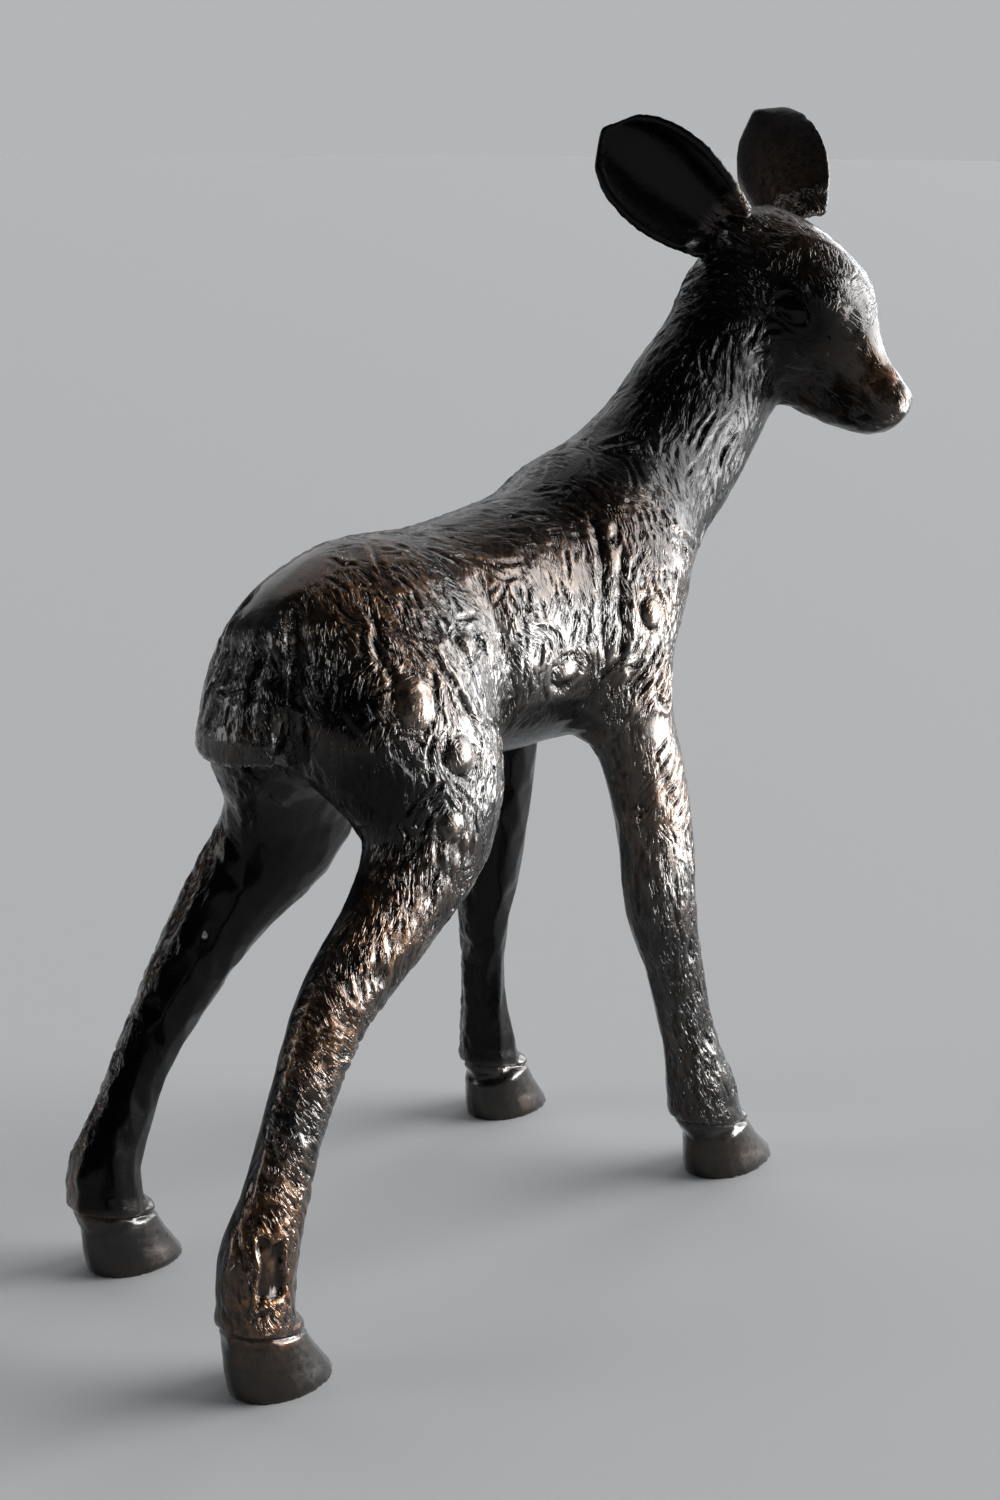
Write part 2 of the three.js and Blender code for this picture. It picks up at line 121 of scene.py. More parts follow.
def on_head(offset):
    """The place in the statue's frame of a point given in the head's frame."""
    return HEAD + offset[0] * NOSEWARD + offset[1] * HEAD_LEFT + offset[2] * CROWN


def head_way(way):
    """A direction given in the head's frame, as a unit vector in the statue's frame."""
    turned = way[0] * NOSEWARD + way[1] * HEAD_LEFT + way[2] * CROWN
    return turned / np.linalg.norm(turned)


def distance_along(points, start, end):
    """How far each point lies from the line from start to end, and its share of the way along it."""
    run = end - start
    share = np.clip((points - start) @ run / (run @ run), 0.0, 1.0)
    return np.linalg.norm(points - start - share[:, None] * run, axis=1), share


for ear in EARS.values():
    ear["foot"] = on_head(ear["root"])
    ear["tip"] = ear["foot"] + head_way(ear["along"]) * EAR_LENGTH


def ear_nearness(points):
    """1 on the ears' blades, and 0 away from them."""
    near = np.zeros(len(points))
    for ear in EARS.values():
        distance, share = distance_along(points, ear["foot"], ear["tip"])
        near = np.maximum(near, fade(distance, 0.034, 0.042) * fade(0.3 - share, 0.0, 0.15))
    return near


TAIL_TIP = np.array([-0.206, -0.001, 0.308])
EAR_CRISPNESS = 0.15
TAIL_CRISPNESS = 0.5
TAIL_HEM_HEIGHT = 0.302

tail_near = fade(np.linalg.norm((place - TAIL_TIP) * [1.5, 0.8, 0.6], axis=1), 0.020, 0.032)
tail_hem = tail_near * fade(np.abs(place[:, 2] - TAIL_HEM_HEIGHT), 0.005, 0.010)
crisp = np.maximum(EAR_CRISPNESS * ear_nearness(place), fade(place[:, 2], 0.003, 0.006))
crisp = np.maximum(crisp, np.maximum(TAIL_CRISPNESS * tail_near, tail_hem))
ease = (1.0 - 0.9 * crisp)[:, None]
for _ in range(SMOOTHING_ROUNDS):
    place += 0.62 * ease * (neighbour_mean(place) - place)
    place -= 0.64 * ease * (neighbour_mean(place) - place)


def normals_of(points):
    """The outward direction of the skin at each point."""
    fawn.data.vertices.foreach_set("co", points.ravel())
    fawn.data.update()
    out = np.empty(len(points) * 3, np.float64)
    fawn.data.vertex_normals.foreach_get("vector", out)
    return out.reshape(-1, 3)


outward = normals_of(place)
chance = np.random.default_rng(7)


# The modelling of the body. The sculptor's spots stand on the flanks as smooth raised domes with a
# pressed ring round each. Folds of skin run down behind the shoulders and before the thighs, and
# creases cross the neck, the hips and the tail.

SPOTS = [
    # place along the body and height, half length, half height, how far it is raised or pressed back
    (-0.1456, 0.331, 0.0105, 0.0130, 0.0006),
    (-0.1236, 0.301, 0.0095, 0.0095, 0.0005),
    (-0.0966, 0.352, 0.0085, 0.0075, -0.0004),
    (-0.1346, 0.267, 0.0070, 0.0070, -0.0006),
    (-0.0126, 0.322, 0.0085, 0.0070, -0.0006),
    (0.0474, 0.348, 0.0065, 0.0085, 0.0005),
    (0.0304, 0.396, 0.0055, 0.0065, -0.0008),
]
SPOT_RING_DEPTH = 0.0006


def press(line, width, depth, rim=0.0):
    """Presses a groove along a line into the skin, with a raised rim, or a ridge where depth is below 0."""
    line = np.asarray(line, float)
    low, high = line.min(axis=0) - 4.0 * width, line.max(axis=0) + 4.0 * width
    near = np.flatnonzero(((place > low) & (place < high)).all(axis=1))
    spans = np.linalg.norm(np.diff(line, axis=0), axis=1)
    total = spans.sum()
    best = np.full(len(near), 1e9)
    share = np.zeros(len(near))
    passed = 0.0
    for start, end, span in zip(line[:-1], line[1:], spans):
        distance, part = distance_along(place[near], start, end)
        closer = distance < best
        best[closer] = distance[closer]
        share[closer] = (passed + part[closer] * span) / total
        passed += span
    ends = np.sqrt(np.clip(4.0 * share * (1.0 - share), 0.0, 1.0))
    cut = -depth * np.exp(-((best / width) ** 2))
    lip = rim * np.exp(-(((best - 2.2 * width) / width) ** 2))
    place[near] += ((cut + lip) * ends)[:, None] * outward[near]


def swell(middle, size, height):
    """Raises or sinks the skin softly round a place; size is the reach along x, y and z."""
    reach = np.broadcast_to(np.asarray(size, float), 3)
    away = np.linalg.norm((place - middle) / reach, axis=1)
    place[:] += (height * np.exp(-(away**2)))[:, None] * outward


def flank_line(line, side):
    """A line of lengths and heights, laid on the skin of one flank in short steps."""
    faces_side = (side * place[:, 1] > 0.012) & (side * outward[:, 1] > 0.2)
    skin_side = place[faces_side]
    laid = []
    for start, end in zip(line[:-1], line[1:]):
        steps = max(2, round(math.dist(start, end) / 0.006))
        for k in range(steps + 1):
            x = start[0] + (end[0] - start[0]) * k / steps
            z = start[1] + (end[1] - start[1]) * k / steps
            nearest = np.argmin((skin_side[:, 0] - x) ** 2 + (skin_side[:, 2] - z) ** 2)
            laid.append((x, skin_side[nearest, 1], z))
    return laid


on_flank = np.abs(outward[:, 1]) > 0.3
spot_mask = np.zeros(len(place))
for x, z, half_length, half_height, rise in SPOTS:
    away = np.hypot((place[:, 0] - x) / half_length, (place[:, 2] - z) / half_height)
    away[~on_flank | (np.abs(place[:, 1]) < 0.03)] = 9.0
    dome = rise * fade(away, 0.85, 1.12)
    ring = SPOT_RING_DEPTH * np.exp(-(((away - 1.15) / 0.16) ** 2))
    place += (dome - ring)[:, None] * outward
    spot_mask = np.maximum(spot_mask, fade(away, 0.9, 1.15))

FLANK_FOLDS = [
    # the fold's line by length and height, half width, depth, rim
    ([(0.0250, 0.404), (0.0211, 0.381), (0.0133, 0.354), (0.0137, 0.322)], 0.0026, 0.0013, 0.0006),
    ([(0.0370, 0.388), (0.0304, 0.371), (0.0270, 0.350), (0.0240, 0.325)], 0.0022, 0.0011, 0.0005),
    ([(0.0400, 0.376), (0.0345, 0.352), (0.0324, 0.338), (0.0216, 0.303)], 0.0030, -0.0013, 0.0),
    ([(0.0420, 0.362), (0.0560, 0.362), (0.0600, 0.350)], 0.0019, -0.0012, 0.0),
    ([(0.0560, 0.352), (0.0640, 0.336), (0.0600, 0.322)], 0.0022, -0.0010, 0.0),
    ([(0.0480, 0.300), (0.0570, 0.294), (0.0660, 0.300)], 0.0017, 0.0015, 0.0009),
    ([(-0.0710, 0.382), (-0.0661, 0.354), (-0.0598, 0.334), (-0.0520, 0.300)], 0.0060, 0.0022, 0.0008),
    ([(-0.0250, 0.331), (-0.0230, 0.318), (-0.0140, 0.311)], 0.0018, 0.0014, 0.0),
    ([(-0.0230, 0.330), (-0.0120, 0.333), (-0.0030, 0.330)], 0.0013, 0.0010, 0.0),
    ([(-0.0560, 0.372), (-0.0480, 0.356), (-0.0470, 0.338)], 0.0018, 0.0011, 0.0006),
    ([(-0.0360, 0.374), (-0.0470, 0.356)], 0.0016, 0.0010, 0.0005),
    ([(-0.0150, 0.372), (-0.0080, 0.352), (-0.0120, 0.336)], 0.0016, 0.0010, 0.0005),
    ([(-0.1500, 0.368), (-0.1560, 0.352), (-0.1520, 0.340)], 0.0026, 0.0010, 0.0006),
    ([(-0.1280, 0.352), (-0.1180, 0.334), (-0.1120, 0.318)], 0.0022, 0.0010, 0.0006),
    ([(-0.1100, 0.364), (-0.1000, 0.340), (-0.1010, 0.320)], 0.0020, 0.0009, 0.0005),
    ([(-0.1640, 0.326), (-0.1580, 0.306), (-0.1480, 0.292)], 0.0022, 0.0009, 0.0005),
]
DRAG_COUNT = 6
DRAG_START = (0.0560, 0.3330)
DRAG_RUN = (-0.0290, -0.0290)
DRAG_GAP = (0.0034, -0.0050)

for side in (1, -1):
    for line, width, depth, rim in FLANK_FOLDS:
        press(flank_line(line, side), width, depth, rim)
    for k in range(DRAG_COUNT):
        x = DRAG_START[0] + k * DRAG_GAP[0]
        z = DRAG_START[1] + k * DRAG_GAP[1]
        shorter = 1.0 - 0.1 * k
        drag = [(x, z), (x + shorter * DRAG_RUN[0], z + shorter * DRAG_RUN[1])]
        press(flank_line(drag, side), 0.0012, 0.0011, 0.0005)
    press([(-0.119, side * 0.0144, 0.401), (-0.1271, side * 0.0267, 0.3944), (-0.130, side * 0.0365, 0.3862)],
          0.0017, 0.0011, 0.0005)
    press([(-0.1468, side * 0.0335, 0.3834), (-0.148, side * 0.045, 0.372), (-0.150, side * 0.052, 0.360)],
          0.0026, 0.0009, 0.0004)

NECK_CREASE = [
    (0.0663, -0.0481, 0.4075), (0.0725, -0.0578, 0.3909), (0.0950, -0.0520, 0.3790),
    (0.1132, -0.0441, 0.3719),
]
TAIL_CREASE = [(-0.1892, 0.0378, 0.3243), (-0.2086, 0.0008, 0.3352), (-0.2054, -0.0114, 0.3391)]
TAIL_SIDE_GROOVE = [
    (-0.1760, -0.0060, 0.3780), (-0.1920, -0.0125, 0.3610), (-0.2033, -0.0140, 0.3430),
    (-0.2096, -0.0182, 0.3169),
]
press(NECK_CREASE, 0.0022, 0.0018, rim=0.0012)
UPPER_NECK_CREASE = [(0.0609, -0.0158, 0.4372), (0.073, -0.021, 0.4385), (0.0849, -0.0251, 0.4397)]
press(UPPER_NECK_CREASE, 0.0022, 0.0014, rim=0.0012)

TAIL_HALF_WIDTHS = [
    # height, half width of the tail flap there
    (0.290, 0.024), (0.300, 0.026), (0.326, 0.029), (0.345, 0.027), (0.364, 0.021), (0.378, 0.012),
]
TAIL_HEM = 0.2985
TAIL_FLARE = 0.0020
HEM_UNDERCUT = 0.0060
VALLEY_DEPTH = 0.0045

outward = normals_of(place)
tail_heights, tail_half_widths = np.array(TAIL_HALF_WIDTHS).T
half_width_here = np.interp(place[:, 2], tail_heights, tail_half_widths)
from_edge = half_width_here - np.abs(place[:, 1] - TAIL_TIP[1])
faces_back = fade(outward[:, 0], -0.45, -0.15) * (place[:, 0] < -0.15)
on_tail = fade(-from_edge, -0.001, 0.001) * faces_back * fade(place[:, 2], 0.356, 0.378)
flare = TAIL_FLARE * fade(place[:, 2] - TAIL_HEM, 0.004, 0.030) * (place[:, 2] > TAIL_HEM)
hollow_back = -0.0024 * np.exp(-(((place[:, 2] - 0.349) / 0.012) ** 2))
under = -HEM_UNDERCUT * fade(place[:, 2] - TAIL_HEM, -0.001, 0.0003)
under *= fade(TAIL_HEM - place[:, 2], 0.006, 0.034)
valley = -VALLEY_DEPTH * np.exp(-(((from_edge + 0.006) / 0.0050) ** 2)) * fade(-from_edge, 0.004, 0.020)
valley *= faces_back * fade(np.abs(place[:, 2] - 0.338), 0.034, 0.046)
place += ((0.0012 + flare + hollow_back + under) * on_tail)[:, None] * outward
place += (valley * (1.0 - on_tail))[:, None] * outward
outward = normals_of(place)
press(TAIL_CREASE, 0.0015, 0.0024, rim=0.0008)
for side in (1, -1):
    press([(x, side * y, z) for x, y, z in TAIL_SIDE_GROOVE], 0.0028, 0.0015, rim=0.0006)


# The head. It is modelled in the same wax: almond eyes set deep under a heavy brow, round nostrils, a
# closed mouth, and fine lines over the forehead and the cheeks.

EYE_PLACE = (0.026, 0.0285, -0.005)
EYE_HALF_LENGTH = 0.0092
EYE_HALF_HEIGHT = 0.0060
EYE_SLANT = math.radians(-18)

eye_mask = np.zeros(len(place))
for side in (1, -1):
    middle = on_head((EYE_PLACE[0], side * EYE_PLACE[1], EYE_PLACE[2]))
    from_eye = place - middle
    fore = from_eye @ NOSEWARD
    rise = from_eye @ CROWN
    outside = side * (from_eye @ HEAD_LEFT) > -0.006
    length = fore * math.cos(EYE_SLANT) + rise * math.sin(EYE_SLANT)
    height = rise * math.cos(EYE_SLANT) - fore * math.sin(EYE_SLANT)
    away = np.hypot(length / EYE_HALF_LENGTH, height / EYE_HALF_HEIGHT)
    away[~outside | (np.linalg.norm(from_eye, axis=1) > 0.03)] = 9.0
    upper = 0.5 + 0.5 * np.tanh(height / 0.0025)
    socket = -0.0016 * np.exp(-((away / 2.0) ** 4)) * (0.5 + 0.5 * upper)
    ball = 0.0010 * np.sqrt(np.clip(1.0 - away**2, 0.0, 1.0))
    seam = -0.0012 * np.exp(-(((away - 1.05) / 0.13) ** 2)) * (0.4 + 0.6 * upper)
    lid = 0.0014 * np.exp(-(((away - 1.40) / 0.22) ** 2)) * (0.3 + 0.7 * upper)
    place += (socket + ball + seam + lid)[:, None] * outward
    eye_mask = np.maximum(eye_mask, fade(away, 1.0, 1.15))
    tear = [on_head((0.034, side * 0.029, -0.009)), on_head((0.048, side * 0.0235, -0.017))]
    brow = [on_head((0.008, side * 0.031, 0.010)), on_head((0.026, side * 0.026, 0.013)),
            on_head((0.044, side * 0.020, 0.005))]
    mouth = [on_head((0.105, side * 0.006, -0.034)), on_head((0.088, side * 0.014, -0.037)),
             on_head((0.066, side * 0.018, -0.036)), on_head((0.050, side * 0.020, -0.034))]
    nostril = [on_head((0.1085, side * 0.0065, -0.019)), on_head((0.103, side * 0.0105, -0.0165))]
    press(tear, 0.0017, 0.0015)
    press(brow, 0.0026, -0.0012)
    press(mouth, 0.0015, 0.0017, rim=0.0007)
    press(nostril, 0.0017, 0.0025, rim=0.0007)
    swell(on_head((0.010, side * 0.026, -0.030)), 0.012, 0.0012)
    swell(on_head((0.052, side * 0.018, -0.010)), (0.009, 0.009, 0.007), -0.0009)


# The legs and hooves. The hair of each leg ends in an edge that laps over its hoof. The right hind leg
# has a ragged shallow recess on its fetlock, left by a patch in the casting, with lumps under it.

HOOVES = {
    "right_hind": (-0.2560, -0.0731),
    "left_hind": (-0.2150, 0.0889),
    "right_fore": (0.1100, -0.0721),
    "left_fore": (0.0890, 0.0869),
}
CORONET_HEIGHT = 0.034
CORONET_SLOPE = 0.22

outward = normals_of(place)
for x, y in HOOVES.values():
    around = np.hypot(place[:, 0] - x, place[:, 1] - y) < 0.045
    edge = CORONET_HEIGHT - CORONET_SLOPE * (place[:, 0] - x)
    above = place[:, 2] - edge
    lap = 0.0015 * fade(-above, 0.0, 0.0010) * fade(above, 0.002, 0.012)
    under = -0.0013 * np.exp(-(((above + 0.0014) / 0.0013) ** 2))
    place[around] += (lap + under)[around, None] * outward[around]
    for k in range(3):
        ring = above + 0.007 + 0.006 * k
        place[around] -= (0.00012 * np.exp(-((ring / 0.0011) ** 2)))[around, None] * outward[around]


def waver(points, size, seed):
    """A smooth wandering value, about -1 to 1, that changes over the given size."""
    random = np.random.default_rng(seed)
    total = np.zeros(len(points))
    for _ in range(9):
        way = random.normal(size=3)
        way *= random.uniform(0.6, 1.5) / (np.linalg.norm(way) * size)
        total += np.sin(2.0 * math.pi * points @ way + random.uniform(0.0, 6.3))
    return total / 3.0


RECESS_MIDDLE = np.array([-0.2672, -0.0895, 0.0718])
RECESS_DOWN = np.array([-0.13, -0.12, -0.98])
RECESS_FACE = np.array([-0.45, -0.89, 0.0])
RECESS_HALF_LENGTH = 0.0155
RECESS_HALF_WIDTH = 0.0068
RECESS_DEPTH = 0.0026

down = RECESS_DOWN / np.linalg.norm(RECESS_DOWN)
across = np.cross(down, RECESS_FACE)
across /= np.linalg.norm(across)
from_recess = place - RECESS_MIDDLE
along_recess = np.abs(from_recess @ down) / RECESS_HALF_LENGTH
across_recess = np.abs(from_recess @ across) / RECESS_HALF_WIDTH
edge = np.maximum(along_recess, across_recess) + 0.22 * waver(place, 0.012, 31)
edge[(np.linalg.norm(from_recess, axis=1) > 0.03) | (outward @ RECESS_FACE < 0.1)] = 9.0
sunk = -RECESS_DEPTH * fade(edge, 0.82, 1.02)
rim = 0.0009 * np.exp(-(((edge - 1.22) / 0.16) ** 2))
place += (sunk + rim)[:, None] * outward
recess_mask = fade(edge, 0.85, 1.0)
for lump in [(-0.2643, -0.0909, 0.0490), (-0.2672, -0.0909, 0.0426), (-0.2740, -0.0890, 0.0450)]:
    swell(np.array(lump), 0.0042, 0.0016)

ARM_WRINKLES = 7
for side in (1, -1):
    for k in range(ARM_WRINKLES):
        z = 0.268 - 0.0075 * k
        x = 0.044 + 0.0022 * k
        press(flank_line([(x, z), (x + 0.013, z + 0.008)], side), 0.0011, 0.0011, 0.0005)
    ring_middle = np.array([0.0346, side * 0.0691, 0.2352])
    away = np.linalg.norm(place - ring_middle, axis=1)
    place += (0.0008 * np.exp(-(((away - 0.0034) / 0.0010) ** 2)))[:, None] * outward
    place -= (0.0007 * np.exp(-((away / 0.0018) ** 2)))[:, None] * outward


# The hair. Short curved grooves were pressed into the wax all over, close and wavy on the flanks, the
# haunches, the neck and the cheeks, sparse along the back, and almost none on the rump, the belly, the
# hooves and the ears. They turn round the spots and slant across the lower legs.

HAIR = [
    # place, the way the hair lies, how close it is, groove length, groove depth
    ((-0.180, -0.012, 0.372), (-0.60, 0.0, -0.80), 0.10, 0.012, 0.0004),
    ((-0.120, -0.030, 0.392), (0.70, -0.2, -0.65), 0.45, 0.013, 0.0008),
    ((-0.150, -0.040, 0.378), (0.20, -0.3, -0.90), 0.75, 0.014, 0.0010),
    ((-0.030, -0.030, 0.400), (0.75, -0.2, -0.60), 0.45, 0.015, 0.0009),
    ((0.020, -0.030, 0.410), (0.75, -0.2, -0.60), 0.50, 0.015, 0.0009),
    ((0.055, -0.030, 0.425), (0.30, -0.3, -0.90), 0.60, 0.015, 0.0008),
    ((-0.155, -0.070, 0.345), (-0.20, 0.0, -1.0), 0.95, 0.016, 0.0012),
    ((-0.130, -0.085, 0.295), (0.15, 0.0, -1.0), 1.00, 0.017, 0.0012),
    ((-0.140, -0.085, 0.250), (-0.45, 0.0, -0.90), 0.90, 0.015, 0.0011),
    ((-0.165, -0.060, 0.250), (-0.60, 0.0, -0.80), 0.70, 0.013, 0.0008),
    ((-0.110, -0.065, 0.345), (0.35, 0.0, -0.95), 1.00, 0.017, 0.0012),
    ((-0.080, -0.060, 0.325), (0.30, 0.0, -1.0), 1.00, 0.017, 0.0012),
    ((-0.060, -0.050, 0.290), (-0.35, 0.0, -1.0), 0.90, 0.016, 0.0010),
    ((-0.040, -0.055, 0.350), (0.15, 0.0, -1.0), 1.00, 0.014, 0.0011),
    ((-0.010, -0.060, 0.355), (-0.15, 0.0, -1.0), 1.00, 0.014, 0.0011),
    ((-0.020, -0.050, 0.300), (0.05, 0.0, -1.0), 0.55, 0.012, 0.0006),
    ((0.030, -0.060, 0.365), (-0.10, 0.0, -1.0), 0.85, 0.013, 0.0010),
    ((0.060, -0.060, 0.370), (-0.20, 0.0, -1.0), 0.90, 0.011, 0.0010),
    ((0.045, -0.067, 0.315), (-0.68, 0.0, -0.73), 0.90, 0.022, 0.0011),
    ((0.050, -0.070, 0.280), (-0.20, 0.0, -1.0), 0.25, 0.014, 0.0006),
    ((0.055, -0.076, 0.245), (0.45, 0.0, 0.55), 0.30, 0.011, 0.0006),
    ((0.090, -0.050, 0.345), (0.10, 0.0, -1.0), 0.70, 0.016, 0.0009),
    ((0.110, -0.020, 0.320), (0.20, 0.0, -1.0), 0.60, 0.016, 0.0008),
    ((0.000, 0.000, 0.268), (-1.0, 0.0, 0.0), 0.06, 0.012, 0.0005),
    ((-0.195, -0.022, 0.345), (-0.40, -0.2, -0.95), 1.00, 0.020, 0.0011),
    ((-0.205, -0.015, 0.318), (-0.20, -0.5, -0.85), 0.80, 0.014, 0.0008),
    ((-0.200, -0.070, 0.215), (-0.30, -0.2, -0.90), 0.85, 0.013, 0.0009),
    ((-0.225, -0.073, 0.185), (0.80, 0.0, -0.55), 0.95, 0.012, 0.0008),
    ((-0.250, -0.073, 0.135), (0.70, 0.0, -0.70), 1.00, 0.012, 0.0008),
    ((-0.262, -0.078, 0.090), (0.45, -0.1, -0.85), 0.80, 0.011, 0.0008),
    ((0.050, -0.075, 0.205), (0.12, 0.0, -1.0), 0.90, 0.016, 0.0009),
    ((0.070, -0.075, 0.130), (0.30, 0.0, -0.95), 0.95, 0.012, 0.0008),
    ((0.092, -0.072, 0.065), (0.60, 0.0, -0.80), 1.00, 0.011, 0.0008),
]
NECK_HAIR = [
    ((0.110, -0.045, 0.405), (-0.35, 0.0, -0.95), 0.65, 0.020, 0.0010),
    ((0.135, -0.045, 0.430), (-0.30, 0.1, -1.0), 0.65, 0.024, 0.0011),
    ((0.150, -0.040, 0.470), (-0.15, 0.2, -1.0), 0.65, 0.024, 0.0011),
    ((0.120, 0.035, 0.410), (-0.20, 0.1, -1.0), 0.60, 0.020, 0.0010),
    ((0.175, 0.030, 0.440), (-0.10, 0.1, -1.0), 0.60, 0.020, 0.0010),
    ((0.195, -0.020, 0.430), (-0.20, 0.0, -1.0), 0.40, 0.018, 0.0007),
    ((0.110, 0.000, 0.460), (-0.60, 0.0, -0.8), 0.55, 0.016, 0.0009),
]


def mirrored(rows):
    """The same rows of hair for the other flank and the other legs."""
    return [((x, -y, z), (u, -v, w), *rest) for (x, y, z), (u, v, w), *rest in rows]


HEAD_HAIR = [
    # place and way in the head's frame
    ((0.045, 0.0, 0.016), (-0.3, 1.0, 0.0), 0.80, 0.009, 0.0005),
    ((0.000, 0.0, 0.030), (-1.0, 0.0, -0.2), 0.60, 0.010, 0.0006),
    ((0.080, 0.0, -0.008), (-1.0, 0.0, 0.2), 0.30, 0.006, 0.0003),
    ((0.010, 0.030, 0.005), (-0.8, 0.0, 0.6), 0.70, 0.009, 0.0007),
    ((0.010, -0.030, 0.005), (-0.8, 0.0, 0.6), 0.70, 0.009, 0.0007),
    ((0.005, 0.028, -0.028), (-0.7, 0.0, -0.7), 0.95, 0.014, 0.0010),
    ((0.005, -0.028, -0.028), (-0.7, 0.0, -0.7), 0.95, 0.014, 0.0010),
    ((0.040, 0.022, -0.036), (-1.0, 0.0, -0.2), 0.80, 0.010, 0.0008),
    ((0.040, -0.022, -0.036), (-1.0, 0.0, -0.2), 0.80, 0.010, 0.0008),
    ((0.075, 0.018, -0.026), (-1.0, 0.0, -0.2), 0.35, 0.007, 0.0004),
    ((0.075, -0.018, -0.026), (-1.0, 0.0, -0.2), 0.35, 0.007, 0.0004),
    ((0.030, 0.000, -0.062), (-1.0, 0.0, 0.0), 0.50, 0.010, 0.0006),
    ((-0.020, 0.000, 0.034), (-1.0, 0.0, -0.4), 0.70, 0.012, 0.0007),
    ((-0.030, 0.020, -0.020), (-0.4, 0.0, -0.9), 0.95, 0.018, 0.0012),
    ((-0.030, -0.020, -0.020), (-0.4, 0.0, -0.9), 0.95, 0.018, 0.0012),
]
hair = HAIR + mirrored(HAIR) + NECK_HAIR
hair += [(on_head(spot), head_way(way), *rest) for spot, way, *rest in HEAD_HAIR]
for ear in EARS.values():
    blade = (ear["foot"] + ear["tip"]) / 2.0
    hair.append((blade, head_way(ear["along"]), 0.25, 0.020, 0.0005))

hair_place = np.array([row[0] for row in hair])
hair_way = np.array([row[1] for row in hair])
hair_way /= np.linalg.norm(hair_way, axis=1)[:, None]
hair_traits = np.array([row[2:] for row in hair])

LUMP_HEIGHT = 0.00022
DEEPEST_HAIR = 0.0013
GROOVES = [
    # how many are tried, half width, share of the hair's own length and depth, how even they are
    (2600, 0.0015, 1.30, 0.80, 0.0),
    (11000, 0.0011, 0.80, 0.45, 1.0),
]


def lie_of_hair(points, facing):
    """For each point on the skin: the way its hair lies, and how close, long and deep the grooves are."""
    gap = points[:, None, :] - hair_place[None, :, :]
    weight = 1.0 / ((gap**2).sum(axis=2) + 0.010**2) ** 2
    weight /= weight.sum(axis=1)[:, None]
    way = weight @ hair_way
    traits = weight @ hair_traits
    for x, z, half_length, half_height, _ in SPOTS:
        for side in (1, -1):
            across_x = (points[:, 0] - x) / half_length
            across_z = (points[:, 2] - z) / half_height
            away = np.hypot(across_x, across_z)
            turn = fade(away, 1.3, 2.6) * (points[:, 1] * side > 0.03)
            radial = np.stack([across_x, np.zeros(len(points)), across_z], axis=1)
            radial /= np.maximum(away, 1e-6)[:, None]
            way -= (0.95 * turn * (way * radial).sum(axis=1))[:, None] * radial
    way -= (way * facing).sum(axis=1)[:, None] * facing
    way /= np.maximum(np.linalg.norm(way, axis=1), 1e-9)[:, None]
    on_leg = fade(points[:, 2], 0.20, 0.25)
    bend = (0.45 * waver(points, 0.03, 11) + 0.30 * waver(points, 0.012, 12)) * (1.0 - 0.75 * on_leg)
    side = np.cross(facing, way)
    return way * np.cos(bend)[:, None] + side * np.sin(bend)[:, None], traits


outward = normals_of(place)
bare = np.maximum(0.7 * spot_mask, eye_mask)
bare = np.maximum(bare, recess_mask)
bare = np.maximum(bare, fade(place[:, 2], 0.034, 0.044))
rump = np.array([-0.172, 0.006, 0.385])
bare = np.maximum(bare, fade(np.linalg.norm((place - rump) * [0.8, 1.4, 1.0], axis=1), 0.024, 0.038))
under_belly = (np.abs(place[:, 0]) < 0.16) * (place[:, 2] > 0.24)
bare = np.maximum(bare, fade(outward[:, 2] + 1.0, 0.15, 0.55) * under_belly)
for side in (1, -1):
    inner = (side * place[:, 1] > 0) & (place[:, 2] < 0.31)
    bare = np.maximum(bare, 0.85 * fade(1.0 + side * outward[:, 1], 0.35, 0.9) * inner)
bare = np.maximum(bare, 0.9 * ear_nearness(place))


def closeness_at(points):
    """How close the hair grooves stand at each point, taken in parts to spare memory."""
    parts = []
    for part in np.array_split(points, 12):
        gap = ((part[:, None, :] - hair_place[None, :, :]) ** 2).sum(axis=2)
        weight = 1.0 / (gap + 0.010**2) ** 2
        parts.append(weight @ (hair_traits[:, 0] * hair_traits[:, 2]) / weight.sum(axis=1))
    return np.concatenate(parts) / DEEPEST_HAIR


uneven = 0.65 * waver(place, 0.020, 21) + 0.45 * waver(place, 0.010, 22)
place += (LUMP_HEIGHT * uneven * closeness_at(place) * (1.0 - bare))[:, None] * outward
outward = normals_of(place)

tree = kdtree.KDTree(len(place))
for index, point in enumerate(place):
    tree.insert(point, index)
tree.balance()

